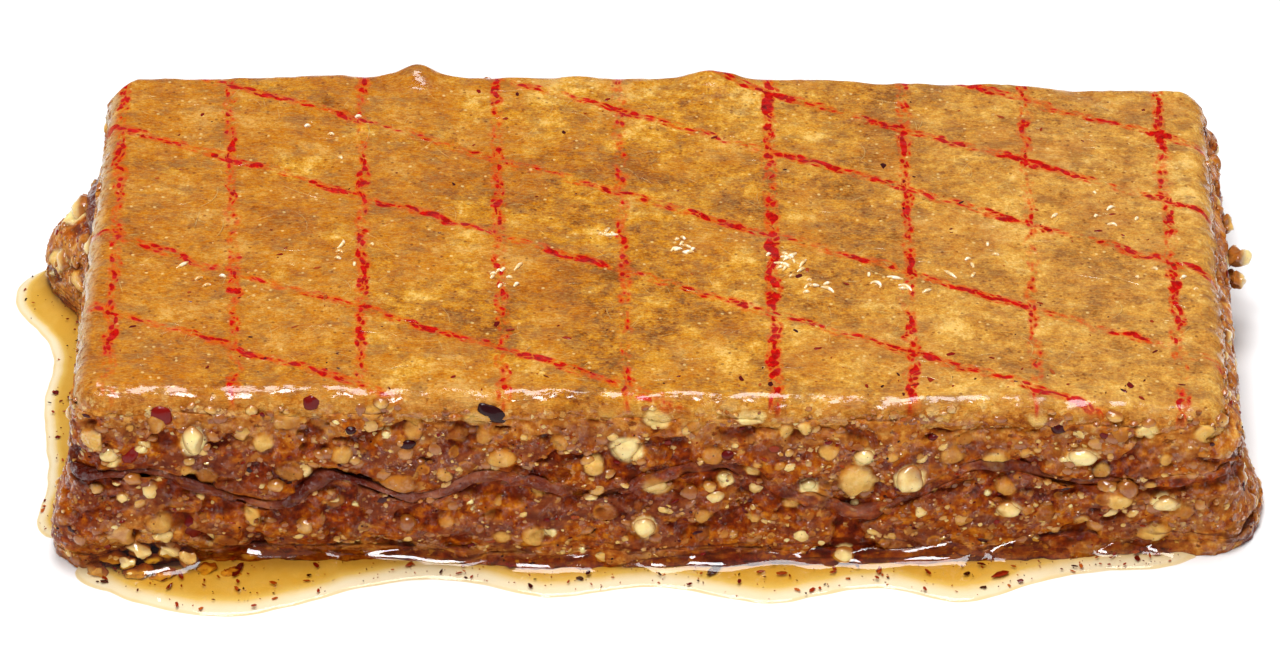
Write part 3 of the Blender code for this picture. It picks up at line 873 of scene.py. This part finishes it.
def makeFillings():
    for name, low, high, node in (
        ("upperFilling", lambda x, y: middleSeam(x, y) + 0.5, lambda x, y: crustSeam(x, y) + 0.2, "upper_filling"),
        ("lowerFilling", lambda x, y: baseSeam(x, y) - 0.1, lambda x, y: middleSeam(x, y) - 0.5, "lower_filling"),
    ):
        recess = layers[name]["recess"]
        makeBand(name, low, high, lambda x, y, z, a, b, t: fillingOut(x, y, z, a, b, recess),
                 fillingMaterial, [node], lambda x, y: 0.0)


def baseOut(x, y, z):
    return 0.3 * rough(x, y, z, 3.5, 2, 3.9) + 0.25 * rough(x, y, z, 1.2, 2, 6.9)


def makeSheets():
    def middleOut(x, y, z, low, high, t):
        lip = layers["middleSheets"]["lip"] * math.sin(math.pi * t)
        hidden = 0.5 * smooth(0.0, 0.25, rough(x, y, 0, 5.0, 2, 3.7) - 0.12 + 0.2 * smooth(-20, 0, x))
        return lip * clear(x, y) - 0.1 - hidden + 0.2 * rough(x, y, z, 2.4, 2, 7.1)

    def clear(x, y):
        # the sheets show plainly at the left, and are lost in the paste further along
        return clamp(0.25 + 0.75 * smooth(-6, -22, x + 6 * rough(x, y, 0, 5.0, 1, 2.2)) + rough(x, y, 0, 4.0, 2, 8.3) * 0.6)

    def half(x, y):
        return 0.5 + 0.45 * rough(x, y, 0, 4.0, 3, 9.9)

    makeBand("middleSheets", lambda x, y: middleSeam(x, y) - half(x, y), lambda x, y: middleSeam(x, y) + half(x, y),
             middleOut, fillingMaterial, ["middle_sheets"], clear)
    makeBand("baseSheets", lambda x, y: 0.0, lambda x, y: baseSeam(x, y) + 0.1,
             lambda x, y, z, low, high, t: baseOut(x, y, z), fillingMaterial, ["base_sheets"], lambda x, y: 0.15)


def surfaceOut(x, y, z):
    # how far the filling's face stands out here, for what is set in it
    middle = middleSeam(x, y)
    if z < baseSeam(x, y):
        return baseOut(x, y, z)
    if z > middle:
        return fillingOut(x, y, z, middle + 0.5, crustSeam(x, y) + 0.2, 0.35)
    return fillingOut(x, y, z, baseSeam(x, y) - 0.1, middle - 0.5, 0.35)


def chunkMesh():
    bm = bmesh.new()
    return bm, (bm.verts.layers.float.new("tone"), bm.verts.layers.float.new("bare"))


def gather(bm, chunk):
    # joined through a mesh, because an operator on one large bmesh would slow down with every piece
    loose = bpy.data.meshes.new("loose")
    chunk.to_mesh(loose)
    chunk.free()
    bm.from_mesh(loose)
    bpy.data.meshes.remove(loose)


def addChunk(bm, place, facing, size, tone, detail, chops, sink=0.25, tilt=None, lumpy=0.2):
    # one piece of nut, set into the side: place is on the face, size is its width, height and depth
    chunk, (toneLayer, bareLayer) = chunkMesh()
    bmesh.ops.create_icosphere(chunk, subdivisions=detail, radius=0.5)
    turn = Matrix.Rotation(random.uniform(0, 6.28), 3, "Z") @ Matrix.Rotation(random.uniform(0, 6.28), 3, "X")
    seed = random.uniform(0, 90)
    planes = []
    for _ in range(chops):
        direction = Vector((random.gauss(0, 1), random.gauss(0, 1), random.gauss(0, 1))).normalized()
        planes.append((direction, random.uniform(0.36, 0.46)))
    across = Vector((-facing.y, facing.x, 0))
    lean = Matrix.Rotation(random.uniform(-0.6, 0.6) if tilt is None else -tilt, 3, facing)
    for vert in chunk.verts:
        co = turn @ vert.co
        for direction, reach in planes:
            over = co.dot(direction) - reach
            if over > 0:
                co -= direction * over
        co *= 1 + lumpy * noise.noise(co * 2.6 + Vector((seed, 0, 0)))
        shape = across * (co.x * size[0]) + Vector((0, 0, co.y * size[1])) + facing * (co.z * size[2])
        shape = lean @ shape
        vert.co = place + shape - facing * (sink * size[2])
        vert[toneLayer] = tone
        vert[bareLayer] = smooth(0.5 * sink, 0.42, shape.dot(facing) / size[2])
    gather(bm, chunk)


def addFlake(bm, place, size, tone, detail=1):
    # a thin bit of skin lying flat: size is its length, width and thickness
    chunk, (toneLayer, bareLayer) = chunkMesh()
    bmesh.ops.create_icosphere(chunk, subdivisions=detail, radius=0.5)
    for vert in chunk.verts:
        vert.co *= 1 + 0.6 * noise.noise(vert.co * 2 + 9 * place)
        vert[toneLayer] = tone
    bmesh.ops.scale(chunk, vec=size, verts=chunk.verts)
    turned = Matrix.Rotation(random.uniform(0, 6.28), 3, "Z") @ Matrix.Rotation(random.gauss(0, 0.15), 3, "X")
    bmesh.ops.rotate(chunk, matrix=turned, verts=chunk.verts)
    bmesh.ops.translate(chunk, vec=place, verts=chunk.verts)
    gather(bm, chunk)


def faceSpot(s, z):
    point, facing = sidePoint(s, z)
    return point + facing * surfaceOut(point.x, point.y, z), facing


def makeNuts():
    # the nuts that stand out furthest; the others are under a film of paste
    bm, _ = chunkMesh()
    for arc, z, wide, tall, tone, tilt in nuts:
        place, facing = faceSpot(arc / perimeter, z)
        if tone < 0.78 or z > crustSeam(place.x, place.y) - 0.4 * tall:
            continue
        if abs(z - middleSeam(place.x, place.y)) < 0.8 and facing.y > -0.9:
            continue
        addChunk(bm, place, facing, (1.8 * wide, 1.8 * tall, 1.6 * tall), tone, 3, 2, sink=0.12, tilt=tilt)
    addPiece("nutPieces", bm, nutMaterial)


def makeCrumbs():
    bm, _ = chunkMesh()
    placed = 0
    while placed < 900:
        s, z = random.random(), random.uniform(0.6, 16.8)
        place, facing = faceSpot(s, z)
        if z > crustSeam(place.x, place.y) + random.uniform(0, 1.2) or abs(z - middleSeam(place.x, place.y)) < 0.35:
            continue
        if random.random() < 0.7 * pocketAt(place.x, place.y, z):
            continue
        wide = 0.6 + 1.4 * random.random() ** 1.6
        addChunk(bm, place, facing, (wide, wide * random.uniform(0.55, 1.0), wide * 0.7),
                 0.25 + 0.65 * random.random() ** 1.6, 2, 3, sink=0.34)
        placed += 1
    addPiece("nutCrumbs", bm, nutMaterial, sharp=40)
    bm, _ = chunkMesh()
    placed = 0
    while placed < 5200:
        s, z = random.random(), random.uniform(0.3, 16.8)
        place, facing = faceSpot(s, z)
        if z > crustSeam(place.x, place.y) + random.uniform(0, 1.3) or abs(z - middleSeam(place.x, place.y)) < 0.25:
            continue
        if random.random() < 0.8 * pocketAt(place.x, place.y, z):
            continue
        if rough(place.x, place.y, z, 2.6, 2, 4.9) < random.uniform(-0.5, 0.3):
            continue
        wide = random.uniform(0.3, 1.0)
        addChunk(bm, place, facing, (wide, wide * random.uniform(0.5, 1.0), wide * 0.7),
                 0.2 + 0.6 * random.random() ** 2, 1, 0, sink=0.34)
        placed += 1
    addPiece("groundCrumbs", bm, nutMaterial, sharp=40)


syrup = {
    "ends": (-48.2, 46.5), "least": 2.1, "gap": -1.1,   # gap: how far it runs in under the block's foot
    "lobes": [(-36.0, 5.2, 10.5), (-8.2, 1.6, 5.5), (10.0, 3.0, 6.6), (26.4, 3.3, 5.8)],
    "leftEnds": (-20.0, 21.0), "leftLobes": [(13.0, 2.0, 4.5), (0.0, 1.6, 9.0)], "leftLeast": 2.2,
    "wrinkles": [(28.0, 2.2), (-42.0, 1.6)],          # where a skin has formed and crumpled
    "mounds": [(-42.4, 3.2, 2.9)],                    # where it stands up over nuts: along, radius, height
    "depth": 0.34, "rim": 1.3, "rise": 0.18, "columns": 340, "rows": 34,
}


def lobed(place, least, lobes, ends):
    reach = least + sum(far * math.exp(-((place - middle) / radius) ** 2) for middle, far, radius in lobes)
    return reach * math.sin(math.pi / 2 * clamp((min(place - ends[0], ends[1] - place)) / 4.5)) ** 0.5


def makePool(name, side, ends, least, lobes, nodes, columns):
    bm = bmesh.new()
    bmesh.ops.create_grid(bm, x_segments=columns, y_segments=syrup["rows"], size=1)
    deepLayer = bm.verts.layers.float.new("deep")
    for vert in bm.verts:
        place = ends[0] + (ends[1] - ends[0]) * (vert.co.x + 1) / 2
        t = (vert.co.y + 1) / 2
        point, facing = sidePoint(wayRound(place, side), 1.0)
        far = max(lobed(place, least, lobes, ends), 0.02) + 0.18 * rough(point.x, point.y, 0, 3.0, 2, 6.3)
        far = max(far, 0.02) - syrup["gap"]
        # t runs from under the block, out over the pool to its rim
        run = far * math.sin(math.pi / 2 * t) ** 0.9
        from0 = far - run
        rim = syrup["rim"]
        height = syrup["depth"] * math.sqrt(max(0.0, 1 - (1 - clamp(from0 / rim)) ** 2))
        height += syrup["rise"] * max(0.0, from0 - rim)
        near = max(0.0, run + syrup["gap"])
        climb = 0.8 + 1.2 * rough(point.x, point.y, 0, 5.0, 2, 4.1)
        height += climb * math.exp(-near / 0.55) * smooth(0, 1.2, far + syrup["gap"])
        height += 0.05 * rough(point.x + near, point.y, 0, 4.0, 1, 1.7) * smooth(0, 1.0, from0)
        for spotAt, wide, tall in syrup["mounds"] if side == "front" else ():
            height += tall * math.exp(-((place - spotAt) / wide) ** 2) * math.exp(-(near / 1.5) ** 2)
        for spotAt, wide in syrup["wrinkles"]:
            crease = math.exp(-((place - spotAt) / wide) ** 2) * smooth(0, 0.5, near) * smooth(0.3, 1.0, from0)
            height += 0.3 * crease * abs(rough(point.x + near, 0.5 * near, 0, 1.6, 2, 5.7))
        # amber where the syrup is thick, and a thin darker line painted at the very edge of the rim as painted shade
        hue = 0.3 * smooth(0.4, 0.1, from0) + smooth(0.6, 2.6, from0 * (1 if side == "front" else 1.7))
        vert[deepLayer] = hue * (1 - 0.15 * smooth(25, 45, place))
        spot = point + facing * (syrup["gap"] + run)
        vert.co = (spot.x, spot.y, max(height, 0.0) - 0.06)
    # the underside is the same sheet pressed flat
    top = list(bm.faces)
    made = bmesh.ops.extrude_face_region(bm, geom=top)
    lower = [item for item in made["geom"] if isinstance(item, bmesh.types.BMVert)]
    for vert in lower:
        vert.co.z = -0.06
    bmesh.ops.remove_doubles(bm, verts=bm.verts, dist=0.0008)
    return addPiece(name, bm, syrupMaterial, nodes)


poolSides = [
    ("front", syrup["ends"], syrup["least"], syrup["lobes"]),
    ("left", syrup["leftEnds"], syrup["leftLeast"], syrup["leftLobes"]),
]


def makeSyrup():
    for name, node, columns, pool in (
        ("syrupFront", "syrup_front", syrup["columns"], poolSides[0]),
        ("syrupLeft", "syrup_left", syrup["columns"] // 2, poolSides[1]),
    ):
        makePool(name, *pool, [node], columns)


threads = {"count": 620, "thickness": 0.08, "step": 0.4, "inset": 3.0}


def makeThreads():
    curve = bpy.data.curves.new("doughThreads", "CURVE")
    curve.dimensions = "3D"
    curve.bevel_depth = threads["thickness"]
    curve.bevel_resolution = 0
    curve.use_fill_caps = True
    halfX = block["halfLength"] - threads["inset"]
    halfY = block["halfDepth"] - threads["inset"]
    for _ in range(threads["count"]):
        x = random.uniform(-halfX, halfX)
        y = random.uniform(-halfY, halfY)
        heading = random.gauss(0, 0.9)
        turn = random.gauss(0, 0.12)
        length = random.choice((4, 4, 5, 6, 7, 9, 13))
        lift = random.uniform(-0.08, 0.0)
        points = []
        for step in range(length):
            if abs(x) > halfX or abs(y) > halfY:
                break
            bx, by = bend(x, y)
            edge = math.sin(math.pi * step / (length - 1))
            points.append((bx, by, topHeight(bx, by) + lift - 0.08 + 0.08 * edge))
            x += threads["step"] * math.cos(heading)
            y += threads["step"] * math.sin(heading)
            heading += turn
        if len(points) < 3:
            continue
        line = curve.splines.new("POLY")
        line.points.add(len(points) - 1)
        for point, spot in zip(line.points, points):
            point.co = (*spot, 1)
            point.radius = random.uniform(0.7, 1.2)
    shaped = bpy.data.objects.new("doughThreads", curve)
    bpy.context.scene.collection.objects.link(shaped)
    mesh = bpy.data.meshes.new_from_object(shaped.evaluated_get(bpy.context.evaluated_depsgraph_get()))
    bpy.data.objects.remove(shaped)
    bm = bmesh.new()
    bm.from_mesh(mesh)
    strandLayer = bm.verts.layers.float.new("strand")
    for vert in bm.verts:
        vert[strandLayer] = 1.0
    addPiece("doughThreads", bm, crustMaterial)


# the larger bits of skin at the front: along, height, width, tallness, tone (0 black, 1 light red)
frontSkins = [
    (-40.1, 15.7, 2.0, 2.2, 0.6), (-42.7, 12.0, 1.2, 2.0, 0.6), (-27.5, 16.6, 1.5, 1.5, 0.5), (-37.9, 4.3, 1.8, 2.8, 0.5),
    (-12.4, 15.3, 2.7, 1.5, 0.05), (-8.5, 15.2, 2.2, 1.6, 0.1), (-24.2, 14.1, 1.0, 0.8, 0.1), (-19.6, 12.4, 1.6, 1.0, 0.1),
    (30.6, 13.9, 1.3, 1.2, 0.3), (35.2, 13.0, 1.5, 1.0, 0.2), (-4.2, 3.8, 1.1, 1.1, 0.0), (40.7, 5.8, 1.2, 1.6, 0.6),
    (7.4, 11.0, 1.2, 0.9, 0.4), (16.0, 14.6, 1.0, 0.8, 0.5), (24.8, 12.2, 1.2, 0.8, 0.4),
]


def makeFlecks():
    bm, _ = chunkMesh()
    for along, height, width, tall, tone in frontSkins:
        place, facing = faceSpot(wayRound(along - 1.0, "front"), height)
        addChunk(bm, place, facing, (width, tall, 0.8), tone, 3, 3, sink=0.15)
    for _ in range(700):
        s, z = random.random(), random.uniform(0.6, 16.0)
        place, facing = faceSpot(s, z)
        if z > crustSeam(place.x, place.y) + 0.4:
            continue
        wide = 0.25 + 0.9 * random.random() ** 3
        addChunk(bm, place, facing, (wide, wide * random.uniform(0.3, 0.8), 0.3), random.random(), 1, 0, sink=0.1)
    addPiece("skinFlecks", bm, fleckMaterial, sharp=40)


crustFlecks = {"count": 110, "frontCount": 60, "thickness": 0.12}


def makeCrustFlecks():
    # bits of skin on the crust, most of them along its front
    bm, _ = chunkMesh()
    for index in range(crustFlecks["count"] + crustFlecks["frontCount"]):
        x = random.uniform(-45, 45)
        y = random.uniform(-21.5, 21.5) if index < crustFlecks["count"] else random.gauss(-21.3, 1.3)
        wide = 0.25 + 0.8 * random.random() ** 3
        x, y = bend(x, max(y, -22.6))
        place = Vector((x, y, topHeight(x, y) - 0.12 * smooth(-21.5, -22.8, y)))
        addFlake(bm, place, (wide, wide * random.uniform(0.3, 0.7), crustFlecks["thickness"]),
                 random.uniform(0.1, 0.95))
    addPiece("crustFlecks", bm, fleckMaterial, sharp=40)


# clusters of cream shreds that have curled up out of the glaze, painted near-white as painted glints: place, spread,
# how many
shredClusters = [
    ((-12.6, -6.6), 2.2, 8), ((-4.0, 0.6), 1.6, 5), ((2.6, -1.6), 2.2, 9), ((11.8, -3.6), 2.2, 14),
    ((13.4, -7.0), 1.4, 6), ((-26.4, -3.4), 2.6, 6), ((-38.5, -7.0), 3.0, 4), ((21.0, -7.0), 3.4, 6),
    ((27.0, -4.0), 3.0, 6), ((38.0, 4.0), 5.0, 6), ((-30.0, 14.0), 5.0, 4), ((44.0, -6.0), 3.0, 4),
]
shreds = {"thickness": 0.15, "step": 0.18}


def makeShreds():
    curve = bpy.data.curves.new("glintPaintedShreds", "CURVE")
    curve.dimensions = "3D"
    curve.bevel_depth = shreds["thickness"]
    curve.bevel_resolution = 1
    curve.use_fill_caps = True
    for centre, spread, count in shredClusters:
        for _ in range(count):
            x, y = random.gauss(centre[0], spread / 2), random.gauss(centre[1], spread / 2)
            heading = random.gauss(0.2, 0.8)
            turn = random.gauss(0, 0.14)
            steps = random.choice((3, 4, 4, 5, 6, 9))
            points = []
            for step in range(steps):
                bx, by = bend(x, y)
                rise = 0.1 * math.sin(math.pi * step / (steps - 1))
                points.append((bx, by, topHeight(bx, by) + rise - 0.03))
                x += shreds["step"] * math.cos(heading)
                y += shreds["step"] * math.sin(heading)
                heading += turn
            line = curve.splines.new("POLY")
            line.points.add(steps - 1)
            for index, (point, spot) in enumerate(zip(line.points, points)):
                point.co = (*spot, 1)
                point.radius = 0.35 + 0.85 * math.sin(math.pi * (index + 0.5) / steps)
    shaped = bpy.data.objects.new("glintPaintedShreds", curve)
    bpy.context.scene.collection.objects.link(shaped)
    mesh = bpy.data.meshes.new_from_object(shaped.evaluated_get(bpy.context.evaluated_depsgraph_get()))
    bpy.data.objects.remove(shaped)
    bm = bmesh.new()
    bm.from_mesh(mesh)
    addPiece("glintPaintedShreds", bm, shredMaterial)


# nuts heaped in the syrup against the front left corner: along, how far out, height, width, tone
poolNuts = [
    ("front", -45.3, -0.5, 3.9, 3.0, 0.55), ("front", -41.7, -0.3, 3.9, 2.1, 0.85), ("front", -43.3, 0.4, 2.3, 2.2, 0.8),
    ("front", -40.9, 0.4, 2.3, 2.2, 0.9), ("front", -45.6, 0.5, 1.2, 2.0, 0.65), ("front", -43.5, 1.7, 0.5, 2.3, 0.9),
    ("front", -41.4, 2.0, 0.3, 2.0, 0.85), ("front", -37.8, 1.3, 0.2, 2.0, 0.9), ("front", -35.5, 1.6, 0.0, 1.6, 0.85),
    ("front", -46.8, 1.0, 0.2, 1.7, 0.6), ("front", -39.4, 1.0, 1.4, 1.7, 0.7), ("front", -42.3, 0.9, 1.4, 1.5, 0.95),
    ("front", -44.4, 1.2, 1.3, 1.4, 0.95), ("right", 7.0, 1.1, 8.4, 2.8, 0.95), ("right", 5.2, 0.9, 7.4, 2.0, 0.85),
    ("right", 8.6, 0.6, 7.2, 1.8, 0.9), ("right", 6.6, 0.6, 6.4, 1.6, 0.8), ("right", 10.6, 0.3, 9.4, 1.8, 0.75),
]
# the larger bits of skin in the syrup: along, how far out, length, tone
poolSkins = [(30.4, 2.3, 1.9, 0.75), (6.3, 0.9, 1.9, 0.15), (-34.1, 1.6, 2.1, 0.4), (-38.9, 2.2, 1.3, 0.8),
             (-39.8, 3.6, 1.0, 0.6), (-27.5, 1.1, 0.9, 0.7), (-19.6, 1.0, 1.1, 0.85), (20.3, 1.3, 1.1, 0.9),
             (12.0, 1.5, 1.2, 0.95), (10.2, 1.3, 0.9, 0.9), (24.4, 1.6, 0.9, 0.8), (16.5, 1.0, 0.9, 0.9)]


def makeSunken():
    bm, _ = chunkMesh()
    for side, along, away, height, wide, tone in poolNuts:
        place, facing = sidePoint(wayRound(along, side), height)
        place += facing * away
        tall = wide * random.uniform(0.55, 0.9)
        addChunk(bm, place, facing, (wide, tall, 0.7 * wide), tone, 3, 5, sink=0.0, lumpy=0.7)
    addPiece("sunkenNuts", bm, nutMaterial, sharp=50)
    bm, _ = chunkMesh()
    for along, away, long, tone in poolSkins:
        place, facing = sidePoint(wayRound(along - 1.0, "front"), 0.8)
        place += facing * away
        place.z = 0.4
        addFlake(bm, place, (0.85 * long, 0.34 * long, 0.16), tone, 2)
    for index in range(420):
        side, ends, least, lobes = poolSides[0] if index < 340 else poolSides[1]
        along = random.uniform(ends[0] + 1, ends[1] - 1)
        place, facing = sidePoint(wayRound(along, side), 0.8)
        share = random.uniform(0.0, 0.93)
        place += facing * share * lobed(along, least, lobes, ends)
        place.z = random.uniform(0.1, 0.38) + 0.3 * (1 - share)
        wide = 0.14 + 0.7 * random.random() ** 4
        addFlake(bm, place, (wide, wide * random.uniform(0.3, 0.7), 0.12), random.choice((0.1, 0.4, 0.8, 0.9, 1.0)))
    addPiece("sunkenFlecks", bm, fleckMaterial, sharp=40)


makeCrust()
makeFillings()
makeSheets()
makeNuts()
makeCrumbs()
makeFlecks()
makeCrustFlecks()
makeThreads()
makeShreds()
makeSyrup()
makeSunken()
print("pieces made")


studio = {
    "floor": 6.0,
    "lamps": {
        "overheadSoftbox": {"at": (0.0, 0.02, 0.9), "size": 0.42, "power": 6.0},
        "frontSoftbox": {"at": (-0.12, -0.36, 0.74), "size": 0.2, "power": 3.2},
    },
}


def makeStudio():
    bm = bmesh.new()
    bmesh.ops.create_grid(bm, x_segments=1, y_segments=1, size=studio["floor"] / 2)
    bmesh.ops.translate(bm, vec=(0, 0, -0.00003), verts=bm.verts)
    mesh = bpy.data.meshes.new("floor")
    bm.to_mesh(mesh)
    bm.free()
    floor = bpy.data.objects.new("floor", mesh)
    bpy.context.scene.collection.objects.link(floor)
    pale = bpy.data.materials.new("paleFloor")
    pale.use_nodes = True
    pale.node_tree.nodes["Principled BSDF"].inputs["Base Color"].default_value = (0.9, 0.9, 0.9, 1)
    pale.node_tree.nodes["Principled BSDF"].inputs["Roughness"].default_value = 0.6
    mesh.materials.append(pale)

    world = bpy.data.worlds.new("softRoom")
    bpy.context.scene.world = world
    world.use_nodes = True
    # brightest overhead, dimmer near the horizon
    tree = world.node_tree
    direction = addNode(tree, "ShaderNodeTexCoord").outputs["Generated"]
    rise = addNode(tree, "ShaderNodeSeparateXYZ", {0: direction}).outputs[2]
    glow = colourRamp(tree, rise, [
        (0.0, (0.34, 0.335, 0.34, 1)), (0.35, (0.2, 0.195, 0.2, 1)), (0.7, (0.14, 0.135, 0.14, 1)), (1.0, (0.7, 0.69, 0.71, 1)),
    ])
    tree.links.new(glow, tree.nodes["Background"].inputs[0])

    for name, lamp in studio["lamps"].items():
        light = bpy.data.lights.new(name, "AREA")
        light.size = lamp["size"]
        light.energy = lamp["power"]
        holder = bpy.data.objects.new(name, light)
        holder.location = lamp["at"]
        holder.rotation_euler = (-Vector(lamp["at"])).to_track_quat("-Z", "Y").to_euler()
        bpy.context.scene.collection.objects.link(holder)


def makeCamera():
    camera = bpy.data.cameras.new("camera")
    camera.sensor_width = 36
    camera.lens = 170.4
    camera.clip_start = 0.01
    holder = bpy.data.objects.new("camera", camera)
    bpy.context.scene.collection.objects.link(holder)
    aim = Vector((blockX - 1.0 * mm, blockY - 1.8 * mm, 8 * mm))
    rise = math.radians(35)
    holder.location = aim + 0.53 * Vector((0, -math.cos(rise), math.sin(rise)))
    holder.rotation_euler = (math.radians(90) - rise, 0, 0)
    bpy.context.scene.camera = holder
    bpy.context.scene.view_settings.view_transform = "Standard"


makeStudio()
makeCamera()
